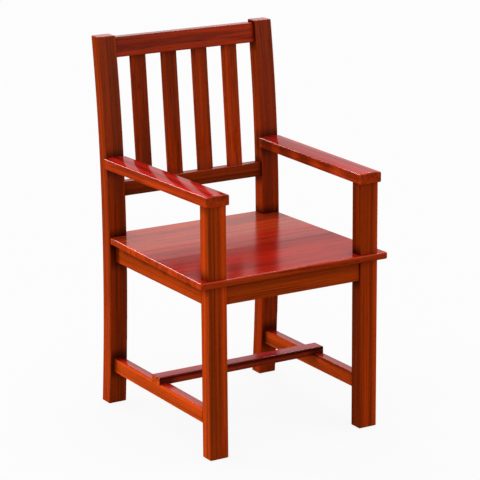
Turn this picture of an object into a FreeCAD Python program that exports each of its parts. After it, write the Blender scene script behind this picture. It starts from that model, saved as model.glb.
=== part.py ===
import FreeCAD
import Part
import math
import os

# A slat-back wooden armchair for a classroom, in millimetres.
# +Z is up, the chair faces -Y, and +X is on the right of someone who looks at its front.
# Layout is measured from the floor, the middle of the width and the front faces of the front legs.
# Just before the files are written, the whole chair is moved so that the middle of its depth is at Y 0.

# Seat
seat_height = 440.0            # floor to the top of the seat
seat_thickness = 17.0
seat_front_overhang = 8.0      # in front of the front legs
seat_side_overhang = 24.5      # past the outer faces of the front legs, at the seat's front edge
seat_rear_inset = 2.5          # inside the outer faces of the rear legs, where the seat meets them
seat_edge_radius = 4.0
seat_corner_radius = 5.0
front_boards_depth = 230.0     # share of the depth made of the wider front boards
front_board_count = 2
rear_board_count = 3

# Legs
leg_pitch = 468.5              # front face of a front leg to front face of a rear leg, at seat level
front_leg_spacing = 471.0      # over the outer faces
front_leg_width = 50.0
front_leg_depth = 37.0
rear_leg_spread = 24.0         # how much further apart the rear legs stand
rear_leg_width = 49.0
rear_leg_depth = 39.5          # at the seat and below
rear_leg_taper = 3.5           # how much thinner its top is, planed off the rear
back_height = 497.5            # top of a rear leg above the seat
back_sweep = 36.5              # how far the top of a rear leg lies behind its bend
foot_sweep = 22.5              # how far its foot lies behind the bend
leg_edge_radius = 3.0
foot_chamfer = 1.5

# Arms
arm_height = 202.4             # top of an arm above the seat, along its centre line
arm_thickness = 27.0
arm_width = 62.0
arm_front_overhang = 5.0
arm_crown = 2.4                # how much higher the middle of its top is than the sides
arm_edge_radius = 3.0

# Aprons under the seat
apron_height = 48.0
apron_thickness = 22.0
front_apron_setback = 5.5      # behind the front faces of the front legs
side_apron_setback = 5.0       # inside the outer faces of the front legs
rear_apron_setback = 4.0       # in front of the rear faces of the rear legs
apron_edge_radius = 2.0

# Back
rail_thickness = 23.0
rail_setback = 12.0            # behind the front faces of the rear legs
rail_edge_radius = 2.5
crest_height = 49.5
crest_drop = 6.5               # below the tops of the rear legs
lower_rail_height = 36.5
lower_rail_lift = 97.5         # its bottom above the seat
slat_count = 4
slat_width = 42.0
slat_thickness = 10.0
slat_pitch = 87.0
slat_edge_radius = 2.0
slat_housing = 14.0            # depth of a slat's end in each rail

# Stretchers
stretcher_clear_height = 84.0  # floor to the underside of a side stretcher
stretcher_height = 37.5
stretcher_thickness = 25.0
stretcher_setback = 0.5        # inside the outer faces of the front legs
stretcher_edge_radius = 3.0
cross_width = 38.0
cross_thickness = 20.0
cross_housing = 3.5            # how deep it is let into the side stretchers
cross_offset = 2.75            # its middle behind the middle of the side stretchers
cross_end_overhang = 2.0       # its ends past the outer faces of the side stretchers

# Mortise and tenon joints
tenon_thickness = 10.0
tenon_shoulder = 7.0           # from a rail's edge to its tenon
tenon_length = 20.0
tenon_wall = 3.0               # wood left between two mortises that meet inside a leg
arm_stub_width = 26.0          # tenon on top of a front leg
arm_stub_depth = 16.0
arm_stub_height = 12.0
joint_clearance = 0.2          # on each cheek of a tenon
tenon_end_gap = 1.0            # room for glue at the bottom of a mortise
seat_leg_clearance = 0.5       # round the legs where they pass the seat

# Corner blocks and screws
block_reach = 46.0             # along each apron
block_height = 36.0
block_clearance = 0.5          # to the leg
screw_radius = 2.1
screw_head_radius = 4.2
screw_head_height = 2.6
screw_point = 5.0
screw_slot_width = 1.0
screw_slot_depth = 1.0
screw_clearance = 0.05
head_bore_radius = 5.0
block_grip = 12.0              # wood of the block between a screw's head and the apron
apron_bite = 14.0              # length of a block screw in the apron
seat_bite = 10.0               # length of a seat screw in the seat
cross_bite = 10.0              # length of a stretcher screw in the cross stretcher
screw_stagger = 8.0            # two screws in one block pass each other by this much up and down

# Levels and faces worked out from the sizes above
seat_bottom = seat_height - seat_thickness
apron_bottom = seat_bottom - apron_height
leg_top = seat_height + back_height
arm_top = seat_height + arm_height
arm_bottom = arm_top - arm_thickness
stretcher_top = stretcher_clear_height + stretcher_height
cross_bottom = stretcher_top - cross_housing
cross_top = cross_bottom + cross_thickness
front_leg_outer = front_leg_spacing / 2
front_leg_inner = front_leg_outer - front_leg_width
front_leg_middle = front_leg_outer - front_leg_width / 2
seat_front_side = front_leg_outer + seat_side_overhang
rear_leg_outer = (front_leg_spacing + rear_leg_spread) / 2
rear_leg_inner = rear_leg_outer - rear_leg_width
rear_leg_middle = rear_leg_outer - rear_leg_width / 2
seat_rear_side = rear_leg_outer - seat_rear_inset
side_apron_outer = front_leg_outer - side_apron_setback
side_apron_inner = side_apron_outer - apron_thickness
side_tenon_inner = side_apron_outer - (apron_thickness + tenon_thickness) / 2
stretcher_outer = front_leg_outer - stretcher_setback
stretcher_inner = stretcher_outer - stretcher_thickness
back_radius = (back_height ** 2 + back_sweep ** 2) / (2 * back_sweep)
foot_radius = (seat_height ** 2 + foot_sweep ** 2) / (2 * foot_sweep)
front_of_chair = -max(seat_front_overhang, arm_front_overhang)
rear_of_chair = leg_pitch + rear_leg_depth + max(back_sweep - rear_leg_taper, foot_sweep)
middle_of_depth = (front_of_chair + rear_of_chair) / 2
reach = 4 * rear_leg_outer     # longer than any piece, for cutting tools
largest_round = 0.4            # radius of an arris as a share of the wood's thickness
parallel_limit = 1e-6          # sine of the angle up to which two lines count as parallel

vector = FreeCAD.Vector
x_axis = vector(1, 0, 0)
y_axis = vector(0, 1, 0)
z_axis = vector(0, 0, 1)


def rear_leg_front(height):
    """Y of the front face of a rear leg: two arcs that meet upright at seat level."""
    rise = height - seat_height
    radius = back_radius if rise > 0 else foot_radius
    return leg_pitch + radius - math.sqrt(radius ** 2 - rise ** 2)


def block(x_from, x_to, y_from, y_to, z_from, z_to):
    """Straight-sided solid between two opposite corners."""
    return Part.makeBox(x_to - x_from, y_to - y_from, z_to - z_from, vector(x_from, y_from, z_from))


def plank(points, z_from, z_to):
    """Upright prism on a plan outline of (x, y) points."""
    corners = [vector(x, y, z_from) for x, y in points]
    face = Part.Face(Part.makePolygon(corners + corners[:1]))
    return face.extrude(vector(0, 0, z_to - z_from))


def middle_of(edge):
    return edge.CenterOfMass


def edges_along(solid, axis, keep=lambda centre: True):
    """Straight edges of a solid that run along an axis and whose middle passes a test."""
    found = []
    for edge in solid.Edges:
        start, end = edge.Vertexes[0].Point, edge.Vertexes[-1].Point
        run = end - start
        if run.Length > 0 and run.cross(axis).Length < parallel_limit * run.Length and keep(middle_of(edge)):
            found.append(edge)
    return found


def eased(solid, radius, edges, wall):
    """Solid with rounded arrises, no rounder than a thin wall allows."""
    return solid.makeFillet(min(radius, largest_round * wall), edges)


def chamfered_foot(leg):
    """Leg with a small chamfer round its end on the floor."""
    ring = [edge for edge in leg.Edges if edge.BoundBox.ZMax < foot_chamfer]
    return leg.makeChamfer(foot_chamfer, ring)


def grown_block(solid, clearance, end_gap, direction):
    """Mortise for a box-shaped tenon: wider by the clearance, deeper by the end gap along a direction."""
    box = solid.BoundBox
    low = vector(box.XMin, box.YMin, box.ZMin)
    high = vector(box.XMax, box.YMax, box.ZMax)
    for axis in (x_axis, y_axis, z_axis):
        along = direction.dot(axis)
        low -= axis * (end_gap if along < 0 else 0 if along > 0 else clearance)
        high += axis * (end_gap if along > 0 else 0 if along < 0 else clearance)
    return block(low.x, high.x, low.y, high.y, low.z, high.z)


def mirrored(solid):
    """Left-hand copy of a right-hand piece."""
    return solid.mirror(vector(0, 0, 0), x_axis)


def one_solid(shape):
    """The single solid of a Boolean result, with flush faces merged."""
    return shape.removeSplitter().Solids[0]


# Wood screws

def screw_shape(length, growth):
    """Countersunk screw along -Z with the top of its head at the origin."""
    head = Part.makeCone(screw_head_radius + growth, screw_radius + growth, screw_head_height,
                         vector(0, 0, 0), -z_axis)
    shank_length = length - screw_head_height - screw_point
    shank = Part.makeCylinder(screw_radius + growth, shank_length, vector(0, 0, -screw_head_height), -z_axis)
    point = Part.makeCone(screw_radius + growth, growth, screw_point + growth,
                          vector(0, 0, -screw_head_height - shank_length), -z_axis)
    return head.fuse([shank, point])


def set_at(shape, place, direction):
    """Turns a tool made along -Z so that it points along a direction from a place."""
    shape.Placement = FreeCAD.Placement(place, FreeCAD.Rotation(-z_axis, direction))
    return shape


def screw(place, direction, length):
    shape = screw_shape(length, 0)
    slot = block(-screw_head_radius, screw_head_radius, -screw_slot_width / 2, screw_slot_width / 2,
                 -screw_slot_depth, screw_head_height)
    return set_at(one_solid(shape.cut(slot)), place, direction)


def screw_hole(place, direction, length, bore):
    """Pilot hole and countersink for a screw, with a bore of a given length above its head."""
    shape = screw_shape(length, screw_clearance)
    above = Part.makeCylinder(head_bore_radius, bore, vector(0, 0, 0), z_axis)
    return set_at(shape.fuse(above), place, direction)


# Rear legs: each sawn to a sweep from one plank, with the back part leaning and the foot standing back

def rear_leg_blank(growth, x_from, x_to):
    """Swept plank between two X faces, thinner to its top, grown to the front and rear by a clearance."""
    def front_point(height):
        return vector(x_from, rear_leg_front(height) - growth, height)

    def rear_point(height):
        taper = rear_leg_taper * max(height - seat_height, 0) / back_height
        return vector(x_from, rear_leg_front(height) + rear_leg_depth - taper + growth, height)

    middle_low, middle_high = seat_height / 2, seat_height + back_height / 2
    arcs = []
    for face_point in (front_point, rear_point):
        bend = face_point(seat_height)
        lower = Part.Arc(face_point(0), face_point(middle_low), bend)
        upper = Part.Arc(bend, face_point(middle_high), face_point(leg_top))
        arcs += [lower.toShape(), upper.toShape()]
    ends = [Part.makeLine(front_point(height), rear_point(height)) for height in (0, leg_top)]
    outline = Part.Wire(Part.sortEdges(arcs + ends)[0])
    return Part.Face(outline).extrude(vector(x_to - x_from, 0, 0))


def rear_leg_body():
    blank = rear_leg_blank(0, rear_leg_inner, rear_leg_outer)
    upper_edges = [edge for edge in blank.Edges if middle_of(edge).z > leg_top - leg_edge_radius]
    long_edges = [edge for edge in blank.Edges if edge.BoundBox.ZLength > leg_edge_radius]
    wall = min(rear_leg_width, rear_leg_depth - rear_leg_taper)
    leg = eased(blank, leg_edge_radius, upper_edges + long_edges, wall)
    return chamfered_foot(leg)


behind_rear_legs = rear_leg_blank(0, -reach / 2, reach / 2).fuse(
    block(-reach / 2, reach / 2, leg_pitch + rear_leg_depth / 2, leg_pitch + reach, -reach, reach))


def fitted_to_rear_leg(solid):
    """Trims a rail's rear end to the swept front face of the rear leg."""
    return solid.cut(behind_rear_legs)


# Front legs: straight posts from the floor to the arm, each with a stub tenon for the arm

def front_leg_bar(growth, z_from, z_to):
    bar = block(front_leg_inner - growth, front_leg_outer + growth, -growth, front_leg_depth + growth,
                z_from, z_to)
    wall = min(front_leg_width, front_leg_depth)
    return eased(bar, leg_edge_radius + growth, edges_along(bar, z_axis), wall)


def arm_stub():
    y_middle = front_leg_depth / 2
    return block(front_leg_middle - arm_stub_width / 2, front_leg_middle + arm_stub_width / 2,
                 y_middle - arm_stub_depth / 2, y_middle + arm_stub_depth / 2,
                 arm_bottom, arm_bottom + arm_stub_height)


def front_leg_body():
    bar = front_leg_bar(0, 0, arm_bottom)
    return chamfered_foot(bar).fuse(arm_stub())


# Aprons: four boards tenoned into the legs, which carry the seat

def lower_edges(solid, axis):
    bottom = solid.BoundBox.ZMin
    return edges_along(solid, axis, lambda centre: abs(centre.z - bottom) < apron_edge_radius / 2)


def apron_tenon_levels():
    return apron_bottom + tenon_shoulder, seat_bottom - tenon_shoulder


front_apron_face = front_apron_setback + apron_thickness
rear_apron_rear = leg_pitch + rear_leg_depth - rear_apron_setback
rear_apron_face = rear_apron_rear - apron_thickness


def cross_apron(y_face, half_length):
    """Board between two legs with its front face at a given Y."""
    board = block(-half_length, half_length, y_face, y_face + apron_thickness, apron_bottom, seat_bottom)
    return eased(board, apron_edge_radius, lower_edges(board, x_axis), apron_thickness)


def cross_apron_tenon(y_face, half_length):
    """Right-hand tenon, which stops short of the side apron's tenon in the same leg."""
    low, high = apron_tenon_levels()
    y_middle = y_face + apron_thickness / 2
    return block(half_length, side_tenon_inner - tenon_wall, y_middle - tenon_thickness / 2,
                 y_middle + tenon_thickness / 2, low, high)


front_apron_tenon = cross_apron_tenon(front_apron_setback, front_leg_inner)
rear_apron_tenon = cross_apron_tenon(rear_apron_face, rear_leg_inner)


def side_apron_tenons():
    """Front and rear tenon of the right-hand side apron."""
    low, high = apron_tenon_levels()
    x_range = (side_tenon_inner, side_tenon_inner + tenon_thickness)
    leg_face = rear_leg_front(apron_bottom + apron_height / 2)
    front = block(*x_range, front_leg_depth - tenon_length, front_leg_depth, low, high)
    rear = block(*x_range, leg_face - tenon_length, leg_face + tenon_length, low, high)
    return front, rear


def side_apron_body():
    board = block(side_apron_inner, side_apron_outer, front_leg_depth, leg_pitch + rear_leg_depth,
                  apron_bottom, seat_bottom)
    return fitted_to_rear_leg(eased(board, apron_edge_radius, lower_edges(board, y_axis), apron_thickness))


# Stretchers: two side rails tenoned into the legs, and a flat cross rail let into their tops

def stretcher_tenons():
    low = stretcher_clear_height + tenon_shoulder
    high = stretcher_top - tenon_shoulder - cross_housing
    x_middle = (stretcher_outer + stretcher_inner) / 2
    x_range = (x_middle - tenon_thickness / 2, x_middle + tenon_thickness / 2)
    leg_face = rear_leg_front(stretcher_clear_height + stretcher_height / 2)
    front = block(*x_range, front_leg_depth - tenon_length, front_leg_depth, low, high)
    rear = block(*x_range, leg_face - tenon_length, leg_face + tenon_length, low, high)
    return front, rear


cross_middle = (front_leg_depth + rear_leg_front(stretcher_top)) / 2 + cross_offset
cross_end = stretcher_outer + cross_end_overhang


def cross_stretcher_bar():
    bar = block(-cross_end, cross_end, cross_middle - cross_width / 2, cross_middle + cross_width / 2,
                cross_bottom, cross_top)
    wall = min(cross_width, cross_thickness - cross_housing)
    top_edges = [edge for edge in bar.Edges if middle_of(edge).z > cross_top - stretcher_edge_radius / 2]
    return eased(bar, stretcher_edge_radius, top_edges, wall)


def side_stretcher_body():
    bar = block(stretcher_inner, stretcher_outer, front_leg_depth, leg_pitch + rear_leg_depth + foot_sweep,
                stretcher_clear_height, stretcher_top)
    wall = min(stretcher_thickness, stretcher_height)
    bar = eased(bar, stretcher_edge_radius, edges_along(bar, y_axis), wall)
    housing = block(stretcher_inner - reach, stretcher_outer + reach, cross_middle - cross_width / 2,
                    cross_middle + cross_width / 2, cross_bottom, cross_top)
    return fitted_to_rear_leg(bar).cut(housing)


# Back: a crest rail and a lower rail with level edges and leaning faces, and upright slats between them

crest_top = leg_top - crest_drop
crest_levels = (crest_top - crest_height, crest_top)
lower_rail_bottom = seat_height + lower_rail_lift
lower_rail_levels = (lower_rail_bottom, lower_rail_bottom + lower_rail_height)
rail_middle = rail_setback + rail_thickness / 2


def leaning_bar(x_from, x_to, y_from, y_to, z_from, z_to):
    """Bar along X whose faces lean with the rear legs; its Y is measured from their front faces."""
    section = ((y_from, z_from), (y_to, z_from), (y_to, z_to), (y_from, z_to))
    corners = [vector(x_from, rear_leg_front(z) + y, z) for y, z in section]
    face = Part.Face(Part.makePolygon(corners + corners[:1]))
    return face.extrude(vector(x_to - x_from, 0, 0))


def back_rail_bar(bottom, top):
    bar = leaning_bar(-rear_leg_inner, rear_leg_inner, rail_setback, rail_setback + rail_thickness,
                      bottom, top)
    return eased(bar, rail_edge_radius, edges_along(bar, x_axis), rail_thickness)


def back_rail_tenon(bottom, top, growth, end_gap):
    """Right-hand tenon of a back rail, or its mortise when it is grown by the clearance."""
    half_thickness = tenon_thickness / 2 + growth
    return leaning_bar(rear_leg_inner, rear_leg_inner + tenon_length + end_gap,
                       rail_middle - half_thickness, rail_middle + half_thickness,
                       bottom + tenon_shoulder - growth, top - tenon_shoulder + growth)


def rail_centre(bottom, top):
    """Middle of a back rail's section, as a point on the Y-Z plane."""
    height = (bottom + top) / 2
    return vector(0, rear_leg_front(height) + rail_middle, height)


slat_foot = rail_centre(*lower_rail_levels)
slat_run = rail_centre(*crest_levels) - slat_foot
slat_start = lower_rail_height / 2 - slat_housing
slat_end = slat_run.Length - crest_height / 2 + slat_housing


def slat_bar(x_middle, growth, end_gap):
    """Straight slat with both ends housed in the rails, or the tool that cuts its housings."""
    bar = block(x_middle - slat_width / 2 - growth, x_middle + slat_width / 2 + growth,
                -slat_thickness / 2 - growth, slat_thickness / 2 + growth,
                slat_start - end_gap, slat_end + end_gap)
    bar = eased(bar, slat_edge_radius + growth, edges_along(bar, z_axis), slat_thickness)
    bar.rotate(vector(0, 0, 0), x_axis, -math.degrees(math.atan2(slat_run.y, slat_run.z)))
    bar.translate(slat_foot)
    return bar


slat_middles = [(index - (slat_count - 1) / 2) * slat_pitch for index in range(slat_count)]


# Arms: boards with crowned tops that follow the legs' taper, on the front legs and against the rear legs

def arm_middle(y):
    """X of an arm's centre line, from the middle of the front leg to the middle of the rear leg."""
    return front_leg_middle + (rear_leg_middle - front_leg_middle) * y / leg_pitch


def arm_tenon():
    """Tenon in the rear leg, which stops in front of the back rails' tenons."""
    x_middle = arm_middle(leg_pitch)
    z_middle = (arm_top + arm_bottom) / 2
    face = rear_leg_front(z_middle)
    depth = rail_middle - tenon_thickness / 2 - tenon_wall - joint_clearance
    return block(x_middle - arm_stub_width / 2, x_middle + arm_stub_width / 2,
                 face - tenon_length, face + depth,
                 z_middle - tenon_thickness / 2, z_middle + tenon_thickness / 2)


def crowned_top(board):
    """Board with its top planed round across the width of the arm, highest along the centre line."""
    radius = ((arm_width / 2) ** 2 + arm_crown ** 2) / (2 * arm_crown)
    start = vector(arm_middle(-reach), -reach, arm_top - radius)
    run = vector(arm_middle(reach) - arm_middle(-reach), 2 * reach, 0)
    return board.common(Part.makeCylinder(radius, run.Length, start, run))


def arm_body():
    rear = rear_leg_front(arm_top) + rear_leg_depth
    outline = []
    for y, sides in ((-arm_front_overhang, (-1, 1)), (rear, (1, -1))):
        outline += [(arm_middle(y) + side * arm_width / 2, y) for side in sides]
    board = crowned_top(plank(outline, arm_bottom, arm_top))
    front_edges = [edge for edge in board.Edges if middle_of(edge).y < rear - arm_edge_radius]
    board = eased(board, arm_edge_radius, front_edges, arm_thickness)
    return fitted_to_rear_leg(board)


# Seat: boards glued edge to edge, cut out round the front legs and notched round the rear legs

def seat_plate():
    rear = leg_pitch + rear_leg_depth
    half = [(seat_front_side, -seat_front_overhang), (seat_rear_side, leg_pitch), (seat_rear_side, rear)]
    outline = half + [(-x, y) for x, y in reversed(half)]
    plate = plank(outline, seat_bottom, seat_height)
    corners = edges_along(plate, z_axis, lambda centre: centre.y < 0)
    plate = plate.makeFillet(seat_corner_radius, corners)
    rims = [edge for edge in plate.Edges if edge.BoundBox.ZLength < seat_edge_radius]
    plate = eased(plate, seat_edge_radius, rims, seat_thickness)
    hole = front_leg_bar(seat_leg_clearance, 0, arm_top)
    notch = rear_leg_blank(seat_leg_clearance, rear_leg_inner - seat_leg_clearance, reach / 2)
    return plate.cut([hole, mirrored(hole), notch, mirrored(notch)])


def seat_joints():
    """Y of each board's front edge, and of the last board's rear edge."""
    front = -seat_front_overhang
    split = front + front_boards_depth
    rear = leg_pitch + rear_leg_depth
    joints = [front + front_boards_depth * index / front_board_count for index in range(front_board_count)]
    joints += [split + (rear - split) * index / rear_board_count for index in range(rear_board_count + 1)]
    return joints


# Corner blocks: glued and screwed in the four corners under the seat

def corner_block(apron_y, leg_x, leg_y, sense):
    """Right-hand block on an apron's inner face; sense is +1 at the front and -1 at the rear."""
    x_leg = leg_x - block_clearance
    y_leg = leg_y + sense * block_clearance
    outline = [(x_leg, apron_y), (x_leg - block_reach, apron_y),
               (side_apron_inner, y_leg + sense * block_reach), (side_apron_inner, y_leg), (x_leg, y_leg)]
    return plank(outline, seat_bottom - block_height, seat_bottom)


def block_screw_places(apron_y, leg_x, leg_y, sense):
    """Head places, directions and lengths of the two apron screws and the seat screw of a block."""
    z_middle = seat_bottom - block_height / 2
    x_along = leg_x - block_clearance - block_reach / 2
    y_along = leg_y + sense * (block_clearance + block_reach / 2)
    length = block_grip + apron_bite
    x_seat = (leg_x + side_apron_inner) / 2
    y_seat = leg_y + sense * (block_clearance + 2 * screw_head_radius)
    into_cross = (vector(x_along, apron_y + sense * block_grip, z_middle + screw_stagger), y_axis * -sense,
                  length)
    into_side = (vector(side_apron_inner - block_grip, y_along, z_middle - screw_stagger), x_axis, length)
    into_seat = (vector(x_seat, y_seat, seat_bottom - block_height), z_axis, block_height + seat_bite)
    return [into_cross, into_side], [into_seat]


front_corner = (front_apron_face, front_leg_inner, front_leg_depth, 1)
rear_corner = (rear_apron_face, rear_leg_inner, rear_leg_front(seat_bottom - block_height), -1)
cross_screw_x = (stretcher_outer + stretcher_inner) / 2
cross_screw = (vector(cross_screw_x, cross_middle, stretcher_clear_height), z_axis,
               stretcher_height - cross_housing + cross_bite)


# Assembly

def build_chair():
    """All pieces by node name, in layout coordinates."""
    block_screws, seat_screws = [], []
    for corner in (front_corner, rear_corner):
        apron_screws, up_screws = block_screw_places(*corner)
        block_screws += apron_screws
        seat_screws += up_screws
    holes = [screw_hole(*place, block_reach) for place in block_screws]
    holes += [screw_hole(*place, screw_head_height) for place in seat_screws + [cross_screw]]
    hole_pairs = holes + [mirrored(hole) for hole in holes]

    nodes = {}

    def add(name, solid):
        nodes[name] = one_solid(solid)

    def add_pair(name, solid):
        add(name + "_right", solid)
        add(name + "_left", mirrored(solid))

    apron_front, apron_rear = side_apron_tenons()
    stretcher_front, stretcher_rear = stretcher_tenons()
    rear_side_mortise_end = rear_apron_face + (apron_thickness - tenon_thickness) / 2 - tenon_wall
    apron_rear = apron_rear.cut(block(-reach, reach, rear_side_mortise_end, reach, -reach, reach))

    def mortise(tenon, direction):
        return grown_block(tenon, joint_clearance, tenon_end_gap, direction)

    front_mortises = [mortise(front_apron_tenon, x_axis), mortise(apron_front, -y_axis),
                      mortise(stretcher_front, -y_axis)]
    add_pair("front_leg", front_leg_body().cut(front_mortises))

    rear_mortises = [mortise(rear_apron_tenon, x_axis), mortise(apron_rear, y_axis),
                     mortise(stretcher_rear, y_axis), mortise(arm_tenon(), y_axis),
                     back_rail_tenon(*crest_levels, joint_clearance, tenon_end_gap),
                     back_rail_tenon(*lower_rail_levels, joint_clearance, tenon_end_gap)]
    add_pair("rear_leg", rear_leg_body().cut(rear_mortises))

    cross_aprons = (("front_apron", front_apron_setback, front_leg_inner, front_apron_tenon),
                    ("rear_apron", rear_apron_face, rear_leg_inner, rear_apron_tenon))
    for name, y_face, half_length, tenon in cross_aprons:
        board = cross_apron(y_face, half_length).fuse([tenon, mirrored(tenon)])
        add(name, board.cut(hole_pairs))
    add_pair("side_apron", side_apron_body().fuse([apron_front, apron_rear]).cut(holes))

    add_pair("side_stretcher", side_stretcher_body().fuse([stretcher_front, stretcher_rear]).cut(holes))
    add("cross_stretcher", cross_stretcher_bar().cut(hole_pairs))

    housings = [slat_bar(x_middle, joint_clearance, tenon_end_gap) for x_middle in slat_middles]
    for name, levels in (("crest_rail", crest_levels), ("lower_back_rail", lower_rail_levels)):
        tenon = back_rail_tenon(*levels, 0, 0)
        rail = back_rail_bar(*levels).fuse([tenon, mirrored(tenon)])
        add(name, rail.cut(housings))
    for index, x_middle in enumerate(slat_middles):
        add("back_slat_%d" % (index + 1), slat_bar(x_middle, 0, 0))

    stub_mortise = grown_block(arm_stub(), joint_clearance, tenon_end_gap, z_axis)
    add_pair("arm", arm_body().fuse(arm_tenon()).cut(stub_mortise))

    plate = seat_plate().cut(hole_pairs)
    joints = seat_joints()
    for index, (y_from, y_to) in enumerate(zip(joints, joints[1:])):
        strip = block(-reach, reach, y_from, y_to, seat_bottom, seat_height)
        add("seat_board_%d" % (index + 1), plate.common(strip))

    add_pair("front_corner_block", corner_block(*front_corner).cut(holes))
    add_pair("rear_corner_block", corner_block(*rear_corner).cut(holes))

    for name, places in (("corner_block_screws", block_screws), ("seat_screws", seat_screws),
                         ("cross_stretcher_screws", [cross_screw])):
        screws = [screw(*place) for place in places]
        nodes[name] = Part.makeCompound(screws + [mirrored(item) for item in screws])
    return nodes


os.makedirs("parts", exist_ok=True)
for node_name, node_shape in build_chair().items():
    node_shape.translate(vector(0, -middle_of_depth, 0))
    node_shape.exportStep(os.path.join("parts", node_name + ".step"))
    print("%-24s solids %d  valid %s  volume %.0f" % (node_name, len(node_shape.Solids), node_shape.isValid(),
                                                      node_shape.Volume))
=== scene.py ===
import bpy
import bmesh
import math
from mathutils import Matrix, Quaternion, Vector


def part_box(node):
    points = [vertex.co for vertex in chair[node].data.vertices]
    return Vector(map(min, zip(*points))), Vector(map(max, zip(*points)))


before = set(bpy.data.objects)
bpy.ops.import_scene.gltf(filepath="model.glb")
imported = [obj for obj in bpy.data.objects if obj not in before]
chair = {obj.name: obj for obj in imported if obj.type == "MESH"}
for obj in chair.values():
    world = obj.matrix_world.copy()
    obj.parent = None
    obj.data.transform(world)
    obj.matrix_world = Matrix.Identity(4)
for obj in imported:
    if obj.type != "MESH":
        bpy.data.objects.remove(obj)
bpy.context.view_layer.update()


# Front legs: straight hardwood posts that run from the floor up to the arms.
# They are planed square, their arrises are rounded over, and they are stained red-brown
# and varnished like the rest of the chair.

class ShaderTree:
    """Node tree of a material or of the world, with short ways to add steps to it."""

    def __init__(self, owner):
        owner.use_nodes = True
        self.nodes = owner.node_tree.nodes
        self.links = owner.node_tree.links

    def put(self, value, socket):
        """Wires an output into a socket, or sets the socket to a plain value."""
        if isinstance(value, bpy.types.NodeSocket):
            self.links.new(value, socket)
        else:
            socket.default_value = value

    def add(self, kind, **values):
        """New node; a value goes to the property of that name, or else to the input of that name."""
        node = self.nodes.new(kind)
        for name, value in values.items():
            if hasattr(node, name):
                setattr(node, name, value)
            else:
                self.put(value, node.inputs[name.replace("_", " ")])
        return node

    def calc(self, operation, *values, clamp=False):
        """Result of a Math node."""
        step = self.add("ShaderNodeMath", operation=operation, use_clamp=clamp)
        for socket, value in zip(step.inputs, values):
            self.put(value, socket)
        return step.outputs[0]

    def vector(self, operation, *values):
        """Result of a Vector Math node."""
        step = self.add("ShaderNodeVectorMath", operation=operation)
        for socket, value in zip(step.inputs, values):
            self.put(value, socket)
        return step.outputs["Value" if operation == "LENGTH" else "Vector"]

    def split(self, vector):
        """X, Y and Z of a vector, by name."""
        return self.add("ShaderNodeSeparateXYZ", Vector=vector).outputs

    def fade(self, value, start, end):
        """0 at the start of a range and 1 at its end, with a smooth step between them."""
        step = self.add("ShaderNodeMapRange", interpolation_type="SMOOTHSTEP", Value=value,
                        From_Min=start, From_Max=end)
        return step.outputs[0]

    def tint(self, share, colour, by):
        """A colour multiplied by another, as far as a share goes."""
        step = self.add("ShaderNodeMix", data_type="RGBA", blend_type="MULTIPLY")
        inputs = {socket.name: socket for socket in step.inputs if socket.enabled}
        self.put(share, inputs["Factor"])
        self.put(colour, inputs["A"])
        self.put((*by, 1), inputs["B"])
        return [socket for socket in step.outputs if socket.enabled][0]

    def ramp(self, value, stops):
        """Colour ramp through stops of a position and a colour."""
        step = self.add("ShaderNodeValToRGB", Fac=value)
        marks = step.color_ramp.elements
        for mark, (position, colour) in zip(marks, (stops[0], stops[-1])):
            mark.position = position
            mark.color = (*colour, 1)
        for position, colour in stops[1:-1]:
            marks.new(position).color = (*colour, 1)
        return step.outputs["Color"]

    def noise(self, points, repeats, offset, **values):
        """Noise with a number of repeats per metre along each axis, moved by an offset."""
        placed = self.add("ShaderNodeMapping", Vector=points, Location=offset, Scale=repeats)
        texture = self.add("ShaderNodeTexNoise", Vector=placed.outputs[0], Scale=1.0, **values)
        return texture.outputs[0]

    def relief(self, height, depth):
        """Normal of a surface with fine relief of a depth in metres."""
        return self.add("ShaderNodeBump", Strength=1.0, Distance=depth, Height=height).outputs[0]


boxes = {node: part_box(node) for node in chair if not node.endswith("screws")}
touching = 0.001                      # pieces closer than this meet, in metres


def boxes_met(node):
    """Boxes of the upright and level pieces that this one touches; the leaning slats are left out."""
    low, high = boxes[node]
    met = []
    for other, (other_low, other_high) in boxes.items():
        if other != node and not other.startswith("back_slat"):
            if all(low[i] - touching < other_high[i] and other_low[i] - touching < high[i] for i in range(3)):
                met.append((other_low, other_high))
    return met


seat_top = boxes["seat_board_1"][1].z
back_sweep = 0.137                    # the back leans by this times the square of the height above the seat
grain_turn = {"X": (0, 0, 0), "Y": (0, 0, -math.pi / 2), "Z": (0, math.pi / 2, 0)}
plank_step = (7.3, 3.1, 1.7)          # from one plank to the next in the pattern of the wood
noise_mean = 0.5
vein_tone = 0.47                      # tone of a streak along which a dark vein runs
vein_range = (0.022, 0.0)
vein_tint = (0.62, 0.5, 0.5)
pore_range = (0.42, 0.30)
pore_share = 0.7
pore_tint = (0.45, 0.38, 0.35)
pale_share = 0.45                     # of the stain on wood that is neither soft nor dense
flat_range = (0.5, 0.95)              # how far up a normal points on level faces
end_range = (0.8, 0.95)               # how far along the grain it points on end grain
arris_range = (0.97, 0.86)            # its largest part on flat faces and on rounded arrises
patch_range = (0.35, 0.6)             # patches in which the stain is worn on the arrises
# Painted shade in inner corners: the stain is darkened near the pieces that meet a face
painted_shade_reach = 0.030                  # how far the darkening of an inner corner reaches, in metres
painted_corner_shade = (0.3, 0.3, 0.3)
thin_film = 0.02                      # weight of the varnish on upright faces
varnish_ior = 1.5
dry_roughness = 0.3
fibre_roughness = 0.25
open_grain = 0.00006                  # depth of the relief of the wood, in metres
flowed_grain = 0.00003                # depth of the relief of the varnish over it, in metres


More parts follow.
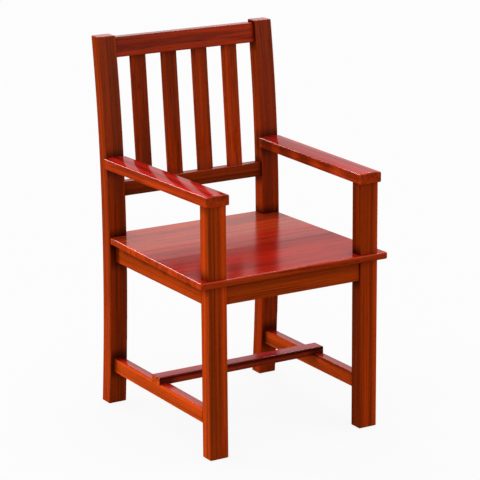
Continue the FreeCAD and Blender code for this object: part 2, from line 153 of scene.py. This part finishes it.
def varnished_wood(node, grain, pale, dark, shift, varnish_and_sheen=(1.1, 0.42, 1.9), ends=(0.85, 0.85, 0.85),
                   gloss=0.55, edge_gloss=1.0, blur=0.19, bronze=0.0, arris_wear_and_shade=(1.25, 1.35, 1.2),
                   breadth=1.0, corners=True, level_shade_share=0.25, swept=False):
    """Stained and varnished hardwood for one piece, with its grain along an axis or along the swept back.

    pale and dark are the stain over soft and over dense wood, shift picks the plank that the piece is
    cut from, and breadth is how wide its streaks run.
    varnish_and_sheen tints the stain on level faces, partly as the colour of the thick varnish and partly
    as a painted sheen and painted light on the tops; gloss is the varnish's weight there and edge_gloss along
    their arrises, blur its roughness, and bronze the share of its shine that takes the red of the stain.
    ends and arris_wear_and_shade are the tints of end grain and of arrises, where a light tint is worn stain
    and a dark one painted shade. level_shade_share is how much of the painted shade of inner corners shows
    on level faces.
    """
    material = bpy.data.materials.new(node + "_varnish")
    tree = ShaderTree(material)
    shader = tree.nodes["Principled BSDF"]

    # The pattern is centred on the piece, and its X axis lies along the grain
    low, high = boxes[node]
    place = tree.add("ShaderNodeTexCoord").outputs["Object"]
    points = place
    if swept:
        bent = tree.split(place)
        rise = tree.calc("SUBTRACT", bent["Z"], seat_top)
        sweep = tree.calc("MULTIPLY", tree.calc("MULTIPLY", rise, rise), back_sweep)
        upright_y = tree.calc("SUBTRACT", bent["Y"], sweep)
        points = tree.add("ShaderNodeCombineXYZ", X=bent["X"], Y=upright_y, Z=bent["Z"]).outputs[0]
    centred = tree.add("ShaderNodeMapping", Vector=points, Location=-(low + high) / 2).outputs[0]
    plank = tree.add("ShaderNodeMapping", Vector=centred, Rotation=grain_turn[grain]).outputs[0]
    offset = [step * shift for step in plank_step]

    def noise(along, across, detail, roughness, distortion=0.0):
        return tree.noise(plank, (along, across, across), offset, Detail=detail, Roughness=roughness,
                          Distortion=distortion)

    figure = noise(along=0.4 * breadth, across=30 / breadth, detail=2.0, roughness=0.5, distortion=0.05)
    streak = noise(along=0.8 * breadth, across=125 / breadth, detail=3.0, roughness=0.6, distortion=0.05)
    fibre = noise(along=4, across=440, detail=2.0, roughness=0.6)
    pore = noise(along=60, across=1700, detail=1.0, roughness=0.5)
    cloud = noise(along=3, across=7, detail=2.0, roughness=0.5)

    # Stain: broad figure, streaks of dense wood, fine fibres, and pores that took up more colour
    tone = figure
    for pattern, share in ((streak, 0.9), (fibre, 0.5), (cloud, 0.2)):
        tone = tree.calc("MULTIPLY_ADD", tree.calc("SUBTRACT", pattern, noise_mean), share, tone)
    between = [pale_share * a + (1 - pale_share) * b for a, b in zip(pale, dark)]
    stain = tree.ramp(tone, ((0.22, dark), (0.5, between), (0.80, pale)))
    vein = tree.calc("ABSOLUTE", tree.calc("SUBTRACT", streak, vein_tone))
    stain = tree.tint(tree.fade(vein, *vein_range), stain, vein_tint)
    stain = tree.tint(tree.calc("MULTIPLY", tree.fade(pore, *pore_range), pore_share), stain, pore_tint)

    # Faces: the normal tells level faces, end grain and rounded arrises apart
    normal = tree.add("ShaderNodeNewGeometry").outputs["Normal"]
    facing = tree.split(normal)
    sides = {axis: tree.calc("ABSOLUTE", facing[axis]) for axis in "XYZ"}
    level = tree.calc("MULTIPLY", facing["Z"], 1.0, clamp=True)
    main_side = tree.calc("MAXIMUM", tree.calc("MAXIMUM", sides["X"], sides["Y"]), sides["Z"])
    arris = tree.fade(main_side, *arris_range)
    flat = tree.fade(level, *flat_range)
    # Level faces: varnish_and_sheen tints the stain, as varnish colour and as painted sheen and light
    stain = tree.tint(flat, stain, varnish_and_sheen)
    stain = tree.tint(tree.fade(sides[grain], *end_range), stain, ends)
    # Arrises: lighter patches of worn stain, or painted shade where the arris tint is dark
    stain = tree.tint(tree.calc("MULTIPLY", arris, tree.fade(cloud, *patch_range)), stain, arris_wear_and_shade)

    # Inner corners: painted shade, which darkens the stain near the pieces that stand out in front of a face
    outward = tree.vector("MULTIPLY", normal, Vector((painted_shade_reach, painted_shade_reach, painted_shade_reach)))
    ahead = tree.vector("ADD", place, outward)
    upright = tree.calc("MULTIPLY_ADD", level, level_shade_share - 1.0, 1.0)
    for low, high in boxes_met(node) if corners else ():
        beside = tree.vector("ABSOLUTE", tree.vector("SUBTRACT", ahead, (low + high) / 2))
        outside = tree.vector("MAXIMUM", tree.vector("SUBTRACT", beside, (high - low) / 2), Vector((0, 0, 0)))
        near = tree.fade(tree.vector("LENGTH", outside), painted_shade_reach, 0.0)
        stain = tree.tint(tree.calc("MULTIPLY", near, upright), stain, painted_corner_shade)
    tree.put(stain, shader.inputs["Base Color"])

    # Varnish: levels out thick and glossy on level faces, and stays thinner on upright ones
    thick = tree.calc("MULTIPLY_ADD", level, gloss - thin_film, thin_film)
    level_arris = tree.calc("MULTIPLY", arris, level)
    thick = tree.calc("MULTIPLY_ADD", level_arris, edge_gloss - gloss, thick, clamp=True)
    tree.put(thick, shader.inputs["Coat Weight"])
    shader.inputs["Coat Roughness"].default_value = blur
    shader.inputs["Coat IOR"].default_value = varnish_ior
    shader.inputs["Specular IOR Level"].default_value = 0.0
    dry = tree.calc("MULTIPLY_ADD", fibre, fibre_roughness, dry_roughness)
    roughness = tree.calc("MULTIPLY_ADD", flat, tree.calc("SUBTRACT", blur, dry), dry)
    tree.put(roughness, shader.inputs["Roughness"])
    if bronze:
        tree.put(tree.calc("MULTIPLY", flat, bronze), shader.inputs["Metallic"])

    # Relief: open grain in the wood, and the varnish that flowed over it
    tree.put(tree.relief(fibre, open_grain), shader.inputs["Normal"])
    tree.put(tree.relief(streak, flowed_grain), shader.inputs["Coat Normal"])
    return material


def dress(node, material):
    """Gives a piece of the chair its finish."""
    chair[node].data.materials.clear()
    chair[node].data.materials.append(material)


def shaded(colour, share):
    """The same stain, taken up a little less or more by another plank."""
    return tuple(share * value for value in colour)


leg_pale = (0.48, 0.043, 0.0020)
leg_dark = (0.13, 0.017, 0.0015)
front_legs = {"front_leg_left": (1.0, 143), "front_leg_right": (0.78, 95)}
for node, (shade, plank) in front_legs.items():
    dress(node, varnished_wood(node, "Z", shaded(leg_pale, shade), shaded(leg_dark, shade), plank))


# Rear legs: each is one thick plank of the same hardwood, sawn and spokeshaved to a sweep, from a foot that
# stands back, through the seat, to the leaning top of the back. They are stained and varnished like the front
# legs, and their grain follows the sweep.

rear_leg_pale = (0.35, 0.029, 0.0020)
rear_leg_dark = (0.09, 0.013, 0.0015)
rear_leg_ends = (1.0, 1.0, 1.0)
rear_leg_varnish_and_sheen = (1.9, 0.6, 2.2)
rear_legs = {"rear_leg_left": (1.11, 251), "rear_leg_right": (0.87, 66)}
for node, (shade, plank) in rear_legs.items():
    dress(node, varnished_wood(node, "Z", shaded(rear_leg_pale, shade), shaded(rear_leg_dark, shade), plank,
                               varnish_and_sheen=rear_leg_varnish_and_sheen, ends=rear_leg_ends, gloss=0.9, edge_gloss=0.15,
                               swept=True))


# Aprons: four hardwood boards on edge under the seat, which carry it and tie the legs together.
# Their ends are tenoned and glued into the legs, a little behind the faces of the legs.

apron_pale = (0.38, 0.038, 0.0020)
apron_dark = (0.14, 0.020, 0.0015)
aprons = {"front_apron": ("X", 1.0, 191), "rear_apron": ("X", 1.0, 6), "side_apron_left": ("Y", 0.88, 69),
          "side_apron_right": ("Y", 0.88, 8)}
for node, (grain, shade, plank) in aprons.items():
    dress(node, varnished_wood(node, grain, shaded(apron_pale, shade), shaded(apron_dark, shade), plank))


# Stretchers: two hardwood side rails, tenoned and glued into the legs near the floor, and a flat cross rail.
# The cross rail is let into the tops of the side rails and screwed from below; its ends show end grain.

stretcher_pale = (0.48, 0.048, 0.003)
stretcher_dark = (0.17, 0.022, 0.002)
stretcher_varnish_and_sheen = (1.5, 0.5, 2.2)
# The side rails also take the painted corner shade on their tops, beside the cross rail
stretchers = {"side_stretcher_left": (1.1, 164), "side_stretcher_right": (0.95, 258)}
for node, (shade, plank) in stretchers.items():
    dress(node, varnished_wood(node, "Y", shaded(stretcher_pale, shade), shaded(stretcher_dark, shade), plank,
                               varnish_and_sheen=stretcher_varnish_and_sheen, gloss=0.75, edge_gloss=0.05, level_shade_share=1.0))
cross_pale = (0.44, 0.040, 0.0085)
cross_dark = (0.12, 0.013, 0.0045)
cross_varnish_and_sheen = (2.1, 1.0, 4.0)
# Painted shade: the arrises of the cross rail are darkened, where a lighter tint marks wear on the other
# pieces
cross_arris_shade = (0.4, 0.2, 0.25)
cross_ends = (1.3, 1.7, 0.7)
cross_plank = 42
cross_wood = varnished_wood("cross_stretcher", "X", cross_pale, cross_dark, cross_plank, varnish_and_sheen=cross_varnish_and_sheen,
                            ends=cross_ends, gloss=0.6, edge_gloss=0.25, arris_wear_and_shade=cross_arris_shade)
dress("cross_stretcher", cross_wood)

# A dark line painted under the upper arrises of the cross rail, on its front and back: painted shade
shade_line_tint = (0.42, 0.12, 0.10)
shade_line_drop = 0.0015
shade_line_width = 0.0045
shade_line_blur = 0.0015
shade_line_top = boxes["cross_stretcher"][1].z - shade_line_drop
shade_line_foot = shade_line_top - shade_line_width
cross_tree = ShaderTree(cross_wood)
cross_colour = cross_tree.nodes["Principled BSDF"].inputs["Base Color"]
cross_height = cross_tree.split(cross_tree.add("ShaderNodeTexCoord").outputs["Object"])["Z"]
cross_facing = cross_tree.split(cross_tree.add("ShaderNodeNewGeometry").outputs["Normal"])
shade_line = cross_tree.calc("ABSOLUTE", cross_facing["Y"])
shade_line = cross_tree.calc("MULTIPLY", shade_line, cross_tree.fade(cross_height, shade_line_top, shade_line_top - shade_line_blur))
shade_line = cross_tree.calc("MULTIPLY", shade_line, cross_tree.fade(cross_height, shade_line_foot - shade_line_blur, shade_line_foot))
cross_tree.put(cross_tree.tint(shade_line, cross_colour.links[0].from_socket, shade_line_tint), cross_colour)


# Back rails: a crest rail and a lower rail, hardwood boards tenoned into the rear legs and leaning with them.
# The crest's lower edge and the lower rail's upper edge are mortised for the slats.

crest_pale = (0.39, 0.026, 0.0018)
crest_dark = (0.083, 0.008, 0.0013)
crest_plank = 61
dress("crest_rail", varnished_wood("crest_rail", "X", crest_pale, crest_dark, crest_plank, gloss=0.95,
                                   edge_gloss=0.4, breadth=2.2, corners=False, swept=True))
lower_rail_pale = (0.27, 0.029, 0.0015)
lower_rail_dark = (0.09, 0.013, 0.0015)
lower_rail_plank = 199
dress("lower_back_rail", varnished_wood("lower_back_rail", "X", lower_rail_pale, lower_rail_dark,
                                        lower_rail_plank, corners=False, swept=True))


# Slats: four thin upright hardwood boards that make the back, each with its own tone of red-brown.
# Both ends are housed in the back rails without glue, so the wood can move.

slat_pale = (0.38, 0.032, 0.0018)
slat_dark = (0.10, 0.012, 0.0012)
slat_breadth = 1.7
slats = {"back_slat_1": (0.82, 138), "back_slat_2": (0.88, 77), "back_slat_3": (1.12, 47),
         "back_slat_4": (1.37, 234)}
for node, (shade, plank) in slats.items():
    dress(node, varnished_wood(node, "Z", shaded(slat_pale, shade), shaded(slat_dark, shade), plank,
                               breadth=slat_breadth, swept=True))


# Arms: flat hardwood boards with their tops planed round, under a thick glossy varnish; the crimson tint of
# their tops is partly varnish and partly painted sheen.
# They sit on stub tenons of the front legs and are tenoned into the fronts of the rear legs.

arm_pale = (0.40, 0.034, 0.003)
arm_dark = (0.13, 0.013, 0.002)
arm_varnish_and_sheen = (1.65, 0.5, 2.4)
arms = {"arm_left": (1.06, 80), "arm_right": (1.1, 50)}
for node, (shade, plank) in arms.items():
    dress(node, varnished_wood(node, "Y", shaded(arm_pale, shade), shaded(arm_dark, shade), plank,
                               varnish_and_sheen=arm_varnish_and_sheen, gloss=0.5, edge_gloss=0.6, blur=0.13))


# Seat: five hardwood boards glued edge to edge, cut out round the front legs and notched round the rear
# legs. Blocks and screws hold it from below. Their tops are tinted crimson at the front and pale salmon at
# the rear: partly the red of the varnish, partly a painted sheen and painted reflection.

seat_pale = (0.46, 0.042, 0.0035)
seat_dark = (0.23, 0.021, 0.0025)
edge_varnish_and_sheen = (1.68, 0.56, 1.4)
front_varnish_and_sheen = (1.34, 0.44, 1.1)
middle_varnish_and_sheen = (1.45, 0.74, 2.0)
rear_varnish_and_sheen = (1.41, 1.25, 2.4)
front_gloss = 0.3
middle_gloss = 0.42
rear_gloss = 0.52
seat_bronze = 0.2
seat_breadth = 2.8
cut_ends = (0.85, 0.85, 0.85)
edge_ends = (1.09, 1.09, 1.09)
# seat_board_1 takes less stain (0.74), a painted shade on its front edge; edge_varnish_and_sheen and
# edge_ends tint its top and end grain back up
boards = {"seat_board_1": (0.74, 51, edge_varnish_and_sheen, front_gloss, edge_ends),
          "seat_board_2": (0.92, 21, front_varnish_and_sheen, front_gloss, cut_ends),
          "seat_board_3": (0.88, 115, middle_varnish_and_sheen, middle_gloss, cut_ends),
          "seat_board_4": (1.0, 147, rear_varnish_and_sheen, rear_gloss, cut_ends),
          "seat_board_5": (0.94, 210, rear_varnish_and_sheen, rear_gloss, cut_ends)}
for node, (shade, plank, varnish_and_sheen, gloss, ends) in boards.items():
    dress(node, varnished_wood(node, "X", shaded(seat_pale, shade), shaded(seat_dark, shade), plank,
                               varnish_and_sheen=varnish_and_sheen, ends=ends, gloss=gloss, edge_gloss=0.7, bronze=seat_bronze,
                               breadth=seat_breadth))


# Corner blocks: four sawn offcuts glued and screwed into the corners under the seat, to stiffen the frame.
# They are the same timber, left raw: pale and dry, with the marks of the saw across the grain.

saw_pitch = 0.0035                    # from one mark of the saw to the next, in metres
saw_depth = 0.00012
saw_wander = 1.5
block_step = (1.9, 2.3, 0.7)          # from one block to the next in the pattern of the wood
smooth_saw = 0.7
rough_saw = 0.95


def raw_wood(node, pale, dark, shift):
    """Unfinished sawn hardwood for a block, with its grain along X."""
    material = bpy.data.materials.new(node + "_raw_wood")
    tree = ShaderTree(material)
    shader = tree.nodes["Principled BSDF"]
    place = tree.add("ShaderNodeTexCoord").outputs["Object"]
    offset = [step * shift for step in block_step]
    rings = tree.noise(place, (4, 90, 90), offset, Detail=3.0, Roughness=0.6)
    fuzz = tree.noise(place, (30, 700, 700), offset, Detail=2.0, Roughness=0.6)
    teeth = tree.add("ShaderNodeTexWave", bands_direction="X", Vector=place,
                     Scale=1 / saw_pitch / (2 * math.pi), Distortion=saw_wander, Detail=1.0)
    roughness = tree.add("ShaderNodeMapRange", Value=fuzz, To_Min=smooth_saw, To_Max=rough_saw)
    marks = tree.calc("ADD", teeth.outputs["Fac"], fuzz)
    tree.put(tree.ramp(rings, ((0.3, dark), (0.7, pale))), shader.inputs["Base Color"])
    tree.put(roughness.outputs[0], shader.inputs["Roughness"])
    tree.put(tree.relief(marks, saw_depth), shader.inputs["Normal"])
    shader.inputs["Specular IOR Level"].default_value = 0.2
    return material


block_pale = (0.45, 0.20, 0.09)
block_dark = (0.28, 0.11, 0.05)
blocks = {"front_corner_block_left": 25, "front_corner_block_right": 26, "rear_corner_block_left": 27,
          "rear_corner_block_right": 28}
for node, offcut in blocks.items():
    dress(node, raw_wood(node, block_pale, block_dark, offcut))


# Screws: zinc-plated steel wood screws with countersunk heads. They go through the corner blocks into the
# aprons and the seat, and up through the side stretchers into the cross stretcher.

zinc_bright = (0.66, 0.65, 0.61)
zinc_dull = (0.48, 0.48, 0.46)
bloom_repeats = 450.0                 # patches of dull zinc per metre
turning_repeats = 2500.0              # marks of the lathe per metre
turning_depth = 0.00002
dull_roughness = 0.5
bright_roughness = 0.25
zinc = bpy.data.materials.new("zinc_plate")
zinc_tree = ShaderTree(zinc)
plate = zinc_tree.nodes["Principled BSDF"]
plate.inputs["Metallic"].default_value = 1.0
zinc_place = zinc_tree.add("ShaderNodeTexCoord").outputs["Object"]
bloom = zinc_tree.add("ShaderNodeTexNoise", Vector=zinc_place, Scale=bloom_repeats, Detail=3.0, Roughness=0.6)
turning = zinc_tree.add("ShaderNodeTexNoise", Vector=zinc_place, Scale=turning_repeats, Detail=1.0)
zinc_colour = zinc_tree.ramp(bloom.outputs[0], ((0.35, zinc_dull), (0.65, zinc_bright)))
zinc_rough = zinc_tree.add("ShaderNodeMapRange", Value=bloom.outputs[0], To_Min=dull_roughness,
                           To_Max=bright_roughness)
zinc_tree.put(zinc_colour, plate.inputs["Base Color"])
zinc_tree.put(zinc_rough.outputs[0], plate.inputs["Roughness"])
zinc_tree.put(zinc_tree.relief(turning.outputs[0], turning_depth), plate.inputs["Normal"])
for node in ("corner_block_screws", "seat_screws", "cross_stretcher_screws"):
    dress(node, zinc)


# Floor: a plain pale studio floor. It looks white, keeps a faint shadow of the chair, and can be seen through
# from below, so that the underside shows.

def seen_directly(tree):
    """1 where a surface is seen, straight or in a reflection, and 0 where it only lights the chair."""
    path = tree.add("ShaderNodeLightPath")
    seen = path.outputs["Is Camera Ray"]
    for name in ("Is Glossy Ray", "Is Transmission Ray"):
        seen = tree.calc("ADD", seen, path.outputs[name], clamp=True)
    return seen


def mixed(tree, share, first, second):
    """One shader that turns into another as a share goes from 0 to 1."""
    mix = tree.add("ShaderNodeMixShader", Fac=share)
    tree.put(first.outputs[0], mix.inputs[1])
    tree.put(second.outputs[0], mix.inputs[2])
    return mix


floor_radius = 30.0
floor_sides = 128
floor_drop = 0.0004
floor_tone = (0.55, 0.55, 0.55, 1)
floor_white = 0.9
white = (1, 1, 1, 1)
floor_mesh = bpy.data.meshes.new("floor")
shape = bmesh.new()
bmesh.ops.create_circle(shape, cap_ends=True, radius=floor_radius, segments=floor_sides)
bmesh.ops.translate(shape, verts=shape.verts, vec=(0, 0, -floor_drop))
shape.to_mesh(floor_mesh)
shape.free()
floor = bpy.data.objects.new("floor", floor_mesh)
bpy.context.scene.collection.objects.link(floor)
paint = bpy.data.materials.new("floor_paint")
paint_tree = ShaderTree(paint)
coat = paint_tree.nodes["Principled BSDF"]
coat.inputs["Base Color"].default_value = floor_tone
coat.inputs["Roughness"].default_value = 1.0
coat.inputs["Specular IOR Level"].default_value = 0.0
glow_white = paint_tree.add("ShaderNodeEmission", Color=white, Strength=1.0)
white_share = paint_tree.calc("MULTIPLY", seen_directly(paint_tree), floor_white)
from_above = mixed(paint_tree, white_share, coat, glow_white)
clear = paint_tree.add("ShaderNodeBsdfTransparent")
underside = paint_tree.add("ShaderNodeNewGeometry").outputs["Backfacing"]
both_sides = mixed(paint_tree, underside, from_above, clear)
paint_tree.put(both_sides.outputs[0], paint_tree.nodes["Material Output"].inputs["Surface"])
floor.data.materials.append(paint)


# Studio light: a white room with a bright ceiling, a wide soft light high behind the chair, two narrow ones
# that only show as a gleam on the varnished arrises, and one soft lamp low behind it on the left.

room_light = 0.28
ceiling_light = 1.35
ceiling_edge = 0.5                    # from 0 at eye level to 1 overhead; below it the room is evenly lit
world = bpy.data.worlds.new("white_room")
bpy.context.scene.world = world
room_tree = ShaderTree(world)
room = room_tree.nodes["Background"]
room.inputs["Color"].default_value = white
sky = room_tree.split(room_tree.add("ShaderNodeTexCoord").outputs["Generated"])
above = room_tree.calc("MAXIMUM", sky["Z"], ceiling_edge)
glow = room_tree.calc("MULTIPLY_ADD", above, ceiling_light, room_light)
room_tree.put(glow, room.inputs["Strength"])
wall = room_tree.add("ShaderNodeBackground", Color=white, Strength=1.0)
room_mix = mixed(room_tree, seen_directly(room_tree), room, wall)
room_tree.put(room_mix.outputs[0], room_tree.nodes["World Output"].inputs["Surface"])

top_strength = 0.7
top_spread = 20
top_from = Vector((0.02, 0.83, 0.56))
top = bpy.data.objects.new("top_light", bpy.data.lights.new("top_light", "SUN"))
top.data.energy = top_strength
top.data.angle = math.radians(top_spread)
top.rotation_euler = top_from.to_track_quat("Z", "Y").to_euler()
bpy.context.scene.collection.objects.link(top)

rim_spread = 10
rims = {"left_rim_light": (0.45, Vector((-0.15, 0.85, 0.5))),
        "front_rim_light": (0.4, Vector((0.49, 0.5, 0.71)))}
for name, (strength, rim_from) in rims.items():
    rim = bpy.data.objects.new(name, bpy.data.lights.new(name, "SUN"))
    rim.data.energy = strength
    rim.data.angle = math.radians(rim_spread)
    rim.rotation_euler = rim_from.to_track_quat("Z", "Y").to_euler()
    rim.visible_diffuse = False
    bpy.context.scene.collection.objects.link(rim)

lamp_power = 12.5
lamp_size = (0.3, 0.3)
lamp_spread = 34
lamp_place = Vector((-3.4, 3.86, 0.3))
lamp_aim = Vector((-0.24, -0.25, 0.05))
lamp = bpy.data.objects.new("side_lamp", bpy.data.lights.new("side_lamp", "AREA"))
lamp.data.energy = lamp_power
lamp.data.shape = "RECTANGLE"
lamp.data.size, lamp.data.size_y = lamp_size
lamp.data.spread = math.radians(lamp_spread)
lamp.visible_glossy = False
lamp.location = lamp_place
lamp.rotation_euler = (lamp_place - lamp_aim).to_track_quat("Z", "Y").to_euler()
bpy.context.scene.collection.objects.link(lamp)


# Camera: a long lens in front of the chair on its left, looking down a little from the height of someone
# standing well back. Its place, turn and lens were fitted to the edges of the chair in the photo.

camera_target = Vector((-0.03096, -0.0665, 0.46487))
camera_azimuth = math.radians(-30.72)
camera_elevation = math.radians(15.09)
camera_distance = 5.3072
camera_roll = math.radians(-0.48)
camera_lens = 164.437
camera_sensor = 36.0
camera = bpy.data.objects.new("camera", bpy.data.cameras.new("camera"))
camera.data.sensor_width = camera_sensor
camera.data.lens = camera_lens
toward = Vector((math.sin(camera_azimuth) * math.cos(camera_elevation),
                 -math.cos(camera_azimuth) * math.cos(camera_elevation), math.sin(camera_elevation)))
camera.location = camera_target + toward * camera_distance
camera.rotation_euler = (toward.to_track_quat("Z", "Y") @ Quaternion((0, 0, 1), camera_roll)).to_euler()
bpy.context.scene.collection.objects.link(camera)
bpy.context.scene.camera = camera
bpy.context.scene.view_settings.view_transform = "Standard"
